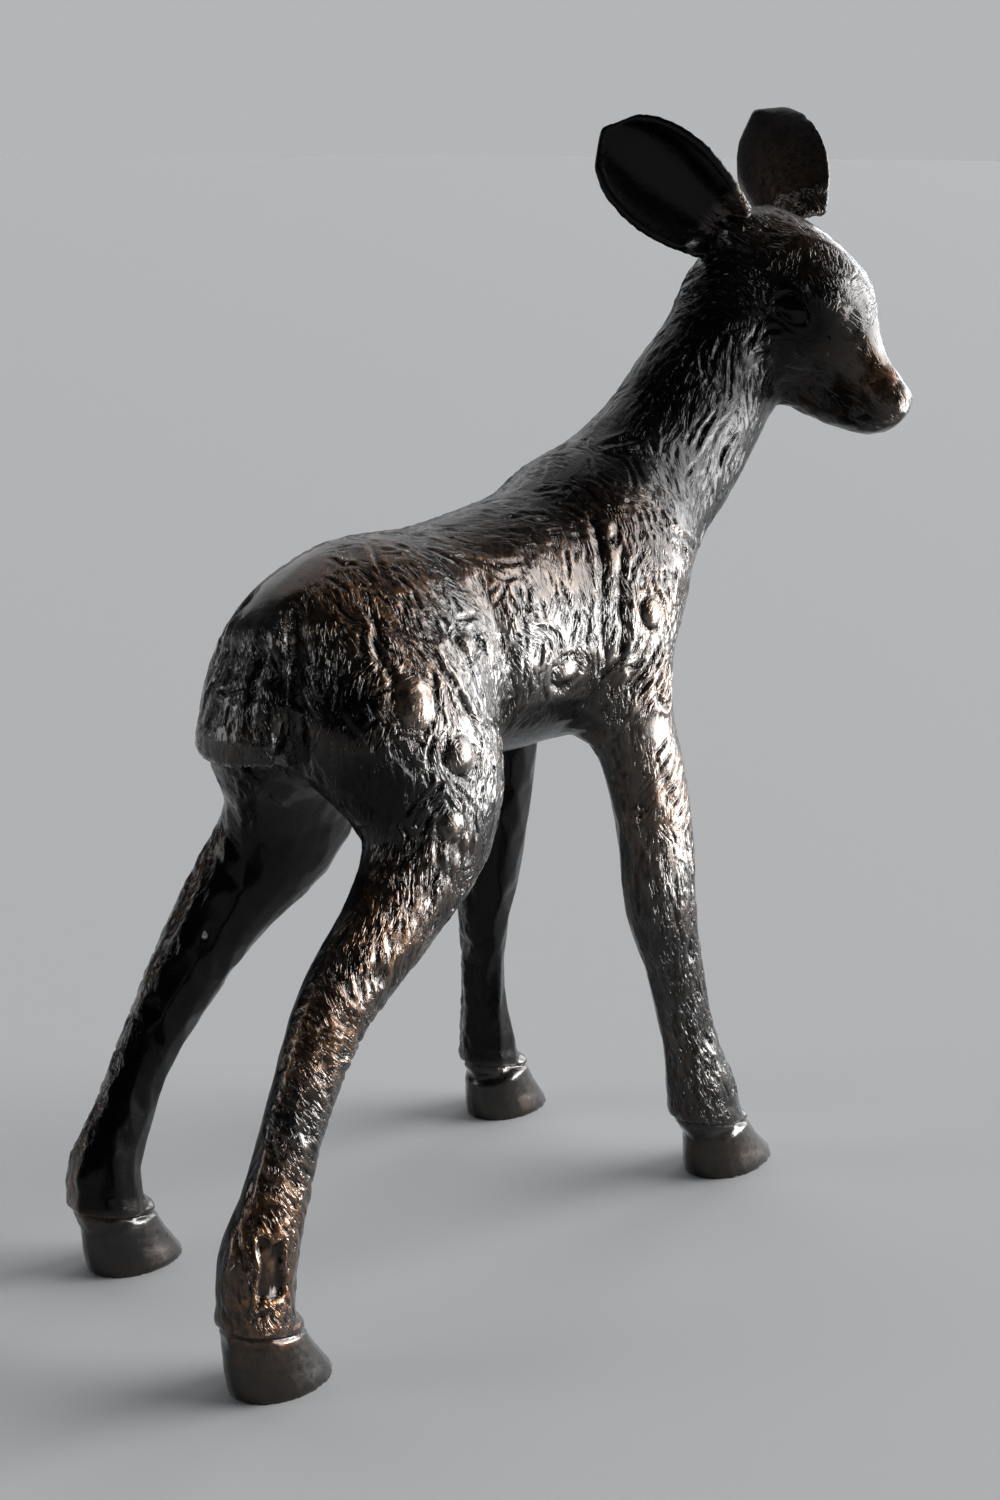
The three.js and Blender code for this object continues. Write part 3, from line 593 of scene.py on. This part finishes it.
for tried, half_width, longer, deeper, evenness in GROOVES:
    seeds = chance.choice(len(place), tried, replace=False)
    way, traits = lie_of_hair(place[seeds], outward[seeds])
    depth_share = np.clip(traits[:, 2] / DEEPEST_HAIR, 0.0, 1.0)
    wanted = traits[:, 0] * (evenness + (1.0 - evenness) * depth_share)
    kept = chance.random(tried) < wanted * (1.0 - bare[seeds])
    groove = np.zeros(len(place))
    ridge = np.zeros(len(place))
    for seed, along, (_, length, depth) in zip(seeds[kept], way[kept], traits[kept]):
        half = 0.5 * length * longer * chance.uniform(0.6, 1.25)
        width = half_width * chance.uniform(0.75, 1.3)
        depth = depth * deeper * chance.uniform(0.6, 1.3)
        curve = chance.normal(0.0, 16.0)
        found = tree.find_range(place[seed], half + 2.0 * width)
        near = np.fromiter((hit[1] for hit in found), np.int64, len(found))
        offset = place[near] - place[seed]
        lengthwise = offset @ along
        sideways = offset @ np.cross(outward[seed], along) - curve * (lengthwise**2 - 0.3 * half**2)
        taper = np.clip(1.0 - (lengthwise / half) ** 2, 0.0, 1.0)
        taper *= (outward[near] @ outward[seed] > 0.2) * (1.0 - bare[near])
        groove[near] = np.maximum(groove[near], depth * taper * np.exp(-((sideways / width) ** 2)))
        lifted = 0.55 * depth * taper * np.exp(-(((np.abs(sideways) - 2.0 * width) / width) ** 2))
        ridge[near] = np.maximum(ridge[near], lifted)
    place += (ridge - groove)[:, None] * outward
    outward = normals_of(place)

TRIANGLES = 196000
SOLE_FLATNESS = 0.0006
EAR_ROUNDS = 14

fawn.data.calc_loop_triangles()
thin = fawn.modifiers.new("thin", "DECIMATE")
thin.ratio = TRIANGLES / len(fawn.data.loop_triangles)
settle_modifiers(fawn)
fawn.data.polygons.foreach_set("use_smooth", np.ones(len(fawn.data.polygons), bool))

place, edges = points_of(fawn)
bare = bare[[tree.find(point)[1] for point in place]]
on_ear = ear_nearness(place)[:, None]
for _ in range(EAR_ROUNDS):
    place += 0.50 * on_ear * (neighbour_mean(place) - place)
    place -= 0.52 * on_ear * (neighbour_mean(place) - place)
low = np.array(cad_box[0])
high = np.array(cad_box[1])
place = np.clip(place, low + 1e-6, high - 1e-6)
place[:, 2] = np.where(place[:, 2] < SOLE_FLATNESS, low[2], place[:, 2])
outward = normals_of(place)


# The finish. The bronze was darkened almost to black with a hot patina and lacquered to a hard gloss.
# It is rubbed back to brown on the hips, the back, the shoulders and the crests of the hair, and stays
# black in the grooves and on the neck. Painted shade turns the belly's underside, the inner faces of the
# legs, the groin and the hollow beside the tail near black, and darkens the top of the back; the back of
# the right haunch is darker too.

height = ((place - neighbour_mean(place)) * outward).sum(axis=1)
height = 0.5 * height + 0.5 * neighbour_mean(height)
crest = np.clip(0.5 + height / 0.0007, 0.0, 1.0)

RUBS = [
    # place, reach, strength
    ((-0.147, -0.034, 0.383), 0.026, 1.0),
    ((-0.122, -0.030, 0.391), 0.022, 0.8),
    ((-0.145, -0.072, 0.350), 0.026, 0.5),
    ((-0.055, -0.036, 0.390), 0.028, 0.5),
    ((-0.007, -0.045, 0.388), 0.022, 0.4),
    ((0.030, -0.045, 0.400), 0.022, 0.5),
    ((0.052, -0.062, 0.350), 0.016, 0.6),
    ((0.055, -0.068, 0.305), 0.018, 0.5),
    ((-0.190, -0.070, 0.225), 0.030, 0.7),
    ((-0.225, -0.073, 0.175), 0.026, 0.9),
    ((-0.262, -0.080, 0.095), 0.026, 1.0),
    ((-0.268, -0.088, 0.055), 0.022, 0.9),
    ((0.219, -0.097, 0.468), 0.011, 1.0),
    ((0.055, -0.075, 0.240), 0.030, 0.35),
    ((0.205, -0.045, 0.548), 0.026, 0.55),
    ((0.258, 0.004, 0.572), 0.026, 0.45),
]
rubbed = np.zeros(len(place))
for middle, reach, strength in RUBS:
    sides = (1,) if middle[2] > 0.44 else (1, -1)
    for side in sides:
        gap = place - np.array([middle[0], middle[1] * side, middle[2]])
        rubbed = np.maximum(rubbed, strength * np.exp(-((gap**2).sum(axis=1)) / reach**2))


def keep_on_mesh(name, values):
    """Stores one value a point on the mesh, for the finish to read."""
    layer = fawn.data.attributes.new(name, "FLOAT", "POINT")
    layer.data.foreach_set("value", values.astype(np.float32))


SOOT_AND_SHADE_PLACES = [
    # place, reach: near black places; on the neck, the throat and the head the patina was never rubbed
    ((0.095, -0.020, 0.425), 0.040),
    ((0.130, -0.025, 0.435), 0.060),
    ((0.165, -0.025, 0.480), 0.055),
    ((0.170, 0.010, 0.440), 0.055),
    ((0.190, -0.055, 0.500), 0.030),
    ((0.160, -0.050, 0.470), 0.040),
    ((0.150, -0.050, 0.455), 0.042),
    ((0.165, -0.045, 0.430), 0.045),
    ((0.145, -0.045, 0.400), 0.035),
    # darker behind the right haunch
    ((-0.172, -0.065, 0.285), 0.030),
    ((-0.180, -0.060, 0.330), 0.022),
    # painted shade between the hind legs, under the body
    ((-0.190, -0.030, 0.270), 0.042),
    ((-0.190, 0.030, 0.270), 0.042),
    ((-0.160, 0.000, 0.250), 0.050),
    # painted shade in the hollow between the tail and the right haunch
    ((-0.198, -0.034, 0.335), 0.012),
    # the unrubbed patina again, by the head
    ((0.175, -0.045, 0.480), 0.026),
]
soot_and_shade = np.zeros(len(place))
for middle, reach in SOOT_AND_SHADE_PLACES:
    soot_and_shade = np.maximum(soot_and_shade, np.exp(-((place - np.array(middle)) ** 2).sum(axis=1) / reach**2))
# Painted shade: the top of the back, over the middle of the body, is darkened part of the way to black.
painted_shade_on_back = fade(0.392 - place[:, 2], 0.0, 0.026) * fade(np.abs(place[:, 0]), 0.050, 0.085)
soot_and_shade = np.maximum(soot_and_shade, 0.42 * painted_shade_on_back)
# Painted shade: the belly's underside, where it faces down, goes near black.
under_belly = (np.abs(place[:, 0]) < 0.16) * (place[:, 2] > 0.24)
soot_and_shade = np.maximum(soot_and_shade, 0.8 * fade(outward[:, 2] + 1.0, 0.25, 0.80) * under_belly)
# Painted shade: the inner faces of the legs, where they face one another, go near black.
for side in (1, -1):
    inner = (side * place[:, 1] > 0) * fade(place[:, 2], 0.25, 0.30) * fade(0.05 - place[:, 2], 0.0, 0.02)
    soot_and_shade = np.maximum(soot_and_shade, 0.9 * fade(1.0 + side * outward[:, 1], 0.7, 1.2) * inner)
for ear in EARS.values():
    distance, share = distance_along(place, ear["foot"], ear["tip"])
    inside = fade(1.0 - outward @ head_way(ear["open"]), 0.7, 1.1) * fade(0.25 - share, 0.0, 0.15)
    soot_and_shade = np.maximum(soot_and_shade, fade(distance, 0.034, 0.042) * inside)

BURNISHED_PLACES = [
    # place, reach, strength: where the crests were polished to silver
    ((-0.105, -0.078, 0.328), 0.038, 1.0),
    ((-0.030, -0.062, 0.338), 0.036, 1.0),
    ((0.030, -0.066, 0.338), 0.030, 1.0),
    ((0.055, -0.075, 0.285), 0.036, 1.0),
    ((0.060, -0.078, 0.215), 0.036, 0.8),
    ((0.095, -0.075, 0.110), 0.050, 0.5),
    ((-0.204, -0.012, 0.340), 0.030, 1.0),
    ((-0.240, -0.080, 0.120), 0.060, 0.35),
    ((0.205, -0.075, 0.525), 0.020, 0.25),
    ((0.235, -0.115, 0.465), 0.016, 0.9),
]
burnish = fade(place[:, 2], 0.030, 0.036) * 0.12
for middle, reach, strength in BURNISHED_PLACES:
    sides = (1,) if middle[2] > 0.44 else (1, -1)
    for side in sides:
        gap = place - np.array([middle[0], middle[1] * side, middle[2]])
        burnish = np.maximum(burnish, strength * np.exp(-((gap**2).sum(axis=1)) / reach**2))

keep_on_mesh("crest", crest)
keep_on_mesh("rubbed", rubbed)
keep_on_mesh("soot_and_shade", soot_and_shade)
keep_on_mesh("burnish", burnish)

LOCK_SIZE = 0.020
HAIR_STRETCH = 5.5


def lay_strands(name):
    """Keeps each point's place in its lock's combed hair; gives closeness, and 0 at a lock's edge."""
    lock_count = int(0.4 / LOCK_SIZE**2)
    seeds = chance.choice(len(place), lock_count, replace=False)
    way, traits = lie_of_hair(place[seeds], outward[seeds])
    side = np.cross(outward[seeds], way)
    lock_tree = kdtree.KDTree(lock_count)
    for index, seed in enumerate(seeds):
        lock_tree.insert(place[seed], index)
    lock_tree.balance()
    own = np.empty(len(place), np.int64)
    margin = np.empty(len(place))
    for index, point in enumerate(place):
        found = lock_tree.find_n(point, 2)
        own[index] = found[0][1]
        margin[index] = found[1][2] - found[0][2]
    margin[edges[own[edges[:, 0]] != own[edges[:, 1]]].ravel()] = 0.0
    from_lock = place - place[seeds][own]
    strand = np.stack([
        (from_lock * way[own]).sum(axis=1) / HAIR_STRETCH + own * 0.37,
        (from_lock * side[own]).sum(axis=1) + own * 0.11,
        (from_lock * outward[seeds][own]).sum(axis=1),
    ], axis=1)
    layer = fawn.data.attributes.new(name, "FLOAT_VECTOR", "POINT")
    layer.data.foreach_set("vector", strand.astype(np.float32).ravel())
    return traits[own, 0], np.clip(margin / (0.15 * LOCK_SIZE), 0.0, 1.0)


spot_here = np.zeros(len(place))
for x, z, half_length, half_height, _ in SPOTS:
    away = np.hypot((place[:, 0] - x) / half_length, (place[:, 2] - z) / half_height)
    spot_here = np.maximum(spot_here, fade(away, 0.8, 1.1) * (np.abs(place[:, 1]) > 0.03))
hairy = (1.0 - np.maximum(0.5 * spot_here, bare)) * (1.0 - 0.75 * soot_and_shade)
first_close, first_middle = lay_strands("first_strand")
second_close, second_middle = lay_strands("second_strand")
keep_on_mesh("first_hair", hairy * first_close * first_middle)
keep_on_mesh("second_hair", hairy * second_close * second_middle * (1.0 - first_middle))
keep_on_mesh("spot", spot_here)

BLACK_PATINA = (0.013, 0.0120, 0.0115, 1.0)
BROWN_PATINA = (0.040, 0.027, 0.019, 1.0)
BURNISHED = (0.125, 0.117, 0.109, 1.0)
# Near black: the unrubbed patina, and the painted shade under the belly, between the legs, beside the tail
# and on the back.
SOOT_AND_SHADE = (0.0055, 0.0052, 0.0052, 1.0)
RUBBED_BRONZE = (0.28, 0.140, 0.064, 1.0)
SPOT_BRONZE = (0.20, 0.165, 0.135, 1.0)

bronze = bpy.data.materials.new("lacquered_bronze")
bronze.use_nodes = True
nodes = bronze.node_tree.nodes
links = bronze.node_tree.links
nodes.clear()


def node(kind, place_x, place_y, **settings):
    """Adds one shader node with its settings."""
    made = nodes.new(kind)
    made.location = (place_x, place_y)
    for key, value in settings.items():
        setattr(made, key, value)
    return made


def mesh_value(name, place_y):
    """A node that reads one of the values kept on the mesh."""
    return node("ShaderNodeAttribute", -1700, place_y, attribute_name=name)


def noise(vector, place_x, place_y, scale, detail, roughness):
    """A noise texture over the given vector."""
    made = node("ShaderNodeTexNoise", place_x, place_y)
    made.inputs["Scale"].default_value = scale
    made.inputs["Detail"].default_value = detail
    made.inputs["Roughness"].default_value = roughness
    links.new(vector, made.inputs["Vector"])
    return made.outputs["Fac"]


def spread(value, place_x, place_y, start, end, to_start=0.0, to_end=1.0):
    """Maps the range of a value from start and end to the given numbers, clamped."""
    made = node("ShaderNodeMapRange", place_x, place_y)
    made.inputs["From Min"].default_value = start
    made.inputs["From Max"].default_value = end
    made.inputs["To Min"].default_value = to_start
    made.inputs["To Max"].default_value = to_end
    links.new(value, made.inputs["Value"])
    return made.outputs["Result"]


def times(first, second, place_x, place_y):
    """One value times another."""
    made = node("ShaderNodeMath", place_x, place_y, operation="MULTIPLY")
    links.new(first, made.inputs[0])
    links.new(second, made.inputs[1])
    return made.outputs[0]


def blended(factor, first, second, place_x, place_y):
    """The first colour, turned to the second by a factor; each is a colour or a socket."""
    made = node("ShaderNodeMix", place_x, place_y, data_type="RGBA")
    links.new(factor, made.inputs["Factor"])
    for socket, colour in (("A", first), ("B", second)):
        if isinstance(colour, tuple):
            made.inputs[socket].default_value = colour
        else:
            links.new(colour, made.inputs[socket])
    return made.outputs["Result"]


position = node("ShaderNodeNewGeometry", -1700, 600).outputs["Position"]
crest_value = mesh_value("crest", 400).outputs["Fac"]
rubbed_value = mesh_value("rubbed", 200).outputs["Fac"]
spot_value = mesh_value("spot", 0).outputs["Fac"]

cloud = noise(position, -1400, 600, 24.0, 5.0, 0.62)
speck = noise(position, -1400, 350, 300.0, 4.0, 0.7)

soot_and_shade_value = mesh_value("soot_and_shade", -200).outputs["Fac"]
patina = blended(spread(cloud, -1150, 600, 0.44, 0.70), BLACK_PATINA, BROWN_PATINA, -900, 600)
burnish_value = mesh_value("burnish", 800).outputs["Fac"]
bright_crest = times(burnish_value, spread(crest_value, -1150, 800, 0.40, 0.75), -900, 800)
burnished = blended(bright_crest, patina, BURNISHED, -700, 600)
wear = times(rubbed_value, spread(speck, -1150, 350, 0.34, 0.58), -900, 350)
wear = times(wear, spread(crest_value, -1150, 150, 0.40, 0.75, 0.25, 1.0), -700, 350)
worn = blended(wear, burnished, RUBBED_BRONZE, -500, 500)
polish = times(spot_value, spread(speck, -1150, -50, 0.38, 0.62, 0.0, 0.5), -900, 0)
polished = blended(polish, worn, SPOT_BRONZE, -300, 450)
# The near black of the unrubbed patina and of the painted shade.
sooted_and_shaded = blended(spread(soot_and_shade_value, -900, -150, 0.15, 0.75), polished, SOOT_AND_SHADE, -100, 450)


def darkened(colour, light_share, place_x, place_y):
    """A colour made darker by a share."""
    made = node("ShaderNodeMix", place_x, place_y, data_type="RGBA", blend_type="MULTIPLY")
    made.inputs["Factor"].default_value = 1.0
    links.new(colour, made.inputs["A"])
    links.new(light_share, made.inputs["B"])
    return made.outputs["Result"]


shaded = darkened(sooted_and_shaded, spread(crest_value, -700, 100, 0.20, 0.50, 0.2, 1.0), 100, 450)
roughness = spread(speck, -500, 150, 0.3, 0.7, 0.24, 0.42)

hair_bump = None
for name, place_y in (("first", -300), ("second", -700)):
    strand = mesh_value(name + "_strand", place_y).outputs["Vector"]
    amount = mesh_value(name + "_hair", place_y - 150).outputs["Fac"]
    fine_hair = noise(strand, -1400, place_y, 640.0, 2.0, 0.55)
    wide_hair = noise(strand, -1400, place_y - 200, 290.0, 2.0, 0.5)
    both = node("ShaderNodeMath", -1000, place_y, operation="MAXIMUM")
    links.new(spread(fine_hair, -1150, place_y, 0.47, 0.37, 0.0, 0.7), both.inputs[0])
    links.new(spread(wide_hair, -1150, place_y - 200, 0.45, 0.34), both.inputs[1])
    pressed = node("ShaderNodeMath", -900, place_y, operation="MULTIPLY")
    links.new(both.outputs[0], pressed.inputs[0])
    links.new(amount, pressed.inputs[1])
    pressed_shade = spread(pressed.outputs[0], -700, place_y - 150, 0.25, 0.9, 1.0, 0.12)
    shaded = darkened(shaded, pressed_shade, 250, place_y)
    bump = node("ShaderNodeBump", -500, place_y, invert=True)
    bump.inputs["Strength"].default_value = 1.0
    bump.inputs["Distance"].default_value = 0.0007
    links.new(pressed.outputs[0], bump.inputs["Height"])
    if hair_bump:
        links.new(hair_bump.outputs["Normal"], bump.inputs["Normal"])
    hair_bump = bump
grain_bump = node("ShaderNodeBump", -200, -300)
grain_bump.inputs["Strength"].default_value = 0.5
grain_bump.inputs["Distance"].default_value = 0.0003
links.new(speck, grain_bump.inputs["Height"])
links.new(hair_bump.outputs["Normal"], grain_bump.inputs["Normal"])

surface = node("ShaderNodeBsdfPrincipled", 450, 200)
surface.inputs["Metallic"].default_value = 1.0
# Less coat where the patina stays black and where shade is painted.
links.new(spread(soot_and_shade_value, 200, -100, 0.15, 0.75, 0.9, 0.35), surface.inputs["Coat Weight"])
surface.inputs["Coat IOR"].default_value = 1.4
surface.inputs["Coat Roughness"].default_value = 0.08
links.new(shaded, surface.inputs["Base Color"])
links.new(roughness, surface.inputs["Roughness"])
links.new(grain_bump.outputs["Normal"], surface.inputs["Normal"])
links.new(grain_bump.outputs["Normal"], surface.inputs["Coat Normal"])
output = node("ShaderNodeOutputMaterial", 750, 200)
links.new(surface.outputs["BSDF"], output.inputs["Surface"])

fawn.data.materials.clear()
fawn.data.materials.append(bronze)
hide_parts("fawn")
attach(fawn, "root")


# The place it is shown in: a plain pale floor that runs to a pale sky, a wide bright window to the
# right with a low card before it, three dimmer soft lights, and the camera at the height of the head.

FLOOR_REACH = 40.0

floor_mesh = bpy.data.meshes.new("floor")
corners = [(-FLOOR_REACH, -FLOOR_REACH, 0), (FLOOR_REACH, -FLOOR_REACH, 0),
           (FLOOR_REACH, FLOOR_REACH, 0), (-FLOOR_REACH, FLOOR_REACH, 0)]
floor_mesh.from_pydata(corners, [], [(0, 1, 2, 3)])
floor = bpy.data.objects.new("floor", floor_mesh)
bpy.context.scene.collection.objects.link(floor)
paint = bpy.data.materials.new("pale_floor")
paint.use_nodes = True
paint.node_tree.nodes["Principled BSDF"].inputs["Base Color"].default_value = (0.60, 0.60, 0.60, 1.0)
paint.node_tree.nodes["Principled BSDF"].inputs["Roughness"].default_value = 0.9
floor_mesh.materials.append(paint)

PALE_SKY = (0.455, 0.463, 0.472, 1.0)
DIM_ROOM = (0.035, 0.037, 0.041, 1.0)

world = bpy.data.worlds.new("pale_sky")
world.use_nodes = True
sky_nodes = world.node_tree.nodes
sky_links = world.node_tree.links
room = sky_nodes["Background"]
room.inputs["Color"].default_value = DIM_ROOM
backdrop = sky_nodes.new("ShaderNodeBackground")
backdrop.inputs["Color"].default_value = PALE_SKY
seen = sky_nodes.new("ShaderNodeLightPath")
choice = sky_nodes.new("ShaderNodeMixShader")
sky_links.new(seen.outputs["Is Camera Ray"], choice.inputs[0])
sky_links.new(room.outputs[0], choice.inputs[1])
sky_links.new(backdrop.outputs[0], choice.inputs[2])
sky_links.new(choice.outputs[0], sky_nodes["World Output"].inputs["Surface"])
bpy.context.scene.world = world
bpy.context.scene.view_settings.view_transform = "Standard"

SOFT_LIGHTS = [
    # name, the way to the light, how wide it looks in degrees, strength, colour
    ("window", (0.775, -0.605, 0.19), 54.0, 6.0, (0.98, 0.99, 1.0)),
    ("beyond", (0.97, 0.12, 0.24), 36.0, 1.0, (0.94, 0.97, 1.0)),
    ("behind", (0.45, 0.55, 0.65), 70.0, 0.65, (0.97, 0.98, 1.0)),
    ("left", (-0.75, 0.55, 0.25), 26.0, 0.5, (0.92, 0.96, 1.0)),
]
for name, toward, width, strength, colour in SOFT_LIGHTS:
    light = bpy.data.lights.new(name, "SUN")
    light.angle = math.radians(width)
    light.energy = strength
    light.color = colour
    lamp = bpy.data.objects.new(name, light)
    lamp.rotation_euler = Vector(toward).to_track_quat("Z", "Y").to_euler()
    lamp.location = Vector(toward) * 3.0
    bpy.context.scene.collection.objects.link(lamp)

# A bright card stands low on the floor to the right, just out of the picture, and lights the fawn alone.
CARD_PLACE = (0.78, -0.76, 0.20)
CARD_WAY = (0.78, -0.70, -0.06)

card_light = bpy.data.lights.new("card", "AREA")
card_light.shape = "RECTANGLE"
card_light.size = 0.80
card_light.size_y = 0.36
card_light.energy = 7.5
card_light.spread = math.radians(110.0)
card = bpy.data.objects.new("card", card_light)
card.location = CARD_PLACE
card.rotation_euler = Vector(CARD_WAY).to_track_quat("Z", "Y").to_euler()
card.visible_camera = False
lit_by_card = bpy.data.collections.new("lit_by_card")
lit_by_card.objects.link(fawn)
card.light_linking.receiver_collection = lit_by_card
bpy.context.scene.collection.objects.link(card)

CAMERA_PLACE = (-1.0174, -0.9226, 0.610)
CAMERA_TURN = math.radians(-47.65)
CAMERA_DIP = math.radians(14.0)

lens = bpy.data.cameras.new("camera")
lens.sensor_fit = "VERTICAL"
lens.sensor_height = 36.0
lens.lens = 60.0
camera = bpy.data.objects.new("camera", lens)
camera.location = CAMERA_PLACE
camera.rotation_euler = (math.radians(90.0) - CAMERA_DIP, 0.0, CAMERA_TURN)
bpy.context.scene.collection.objects.link(camera)
bpy.context.scene.camera = camera
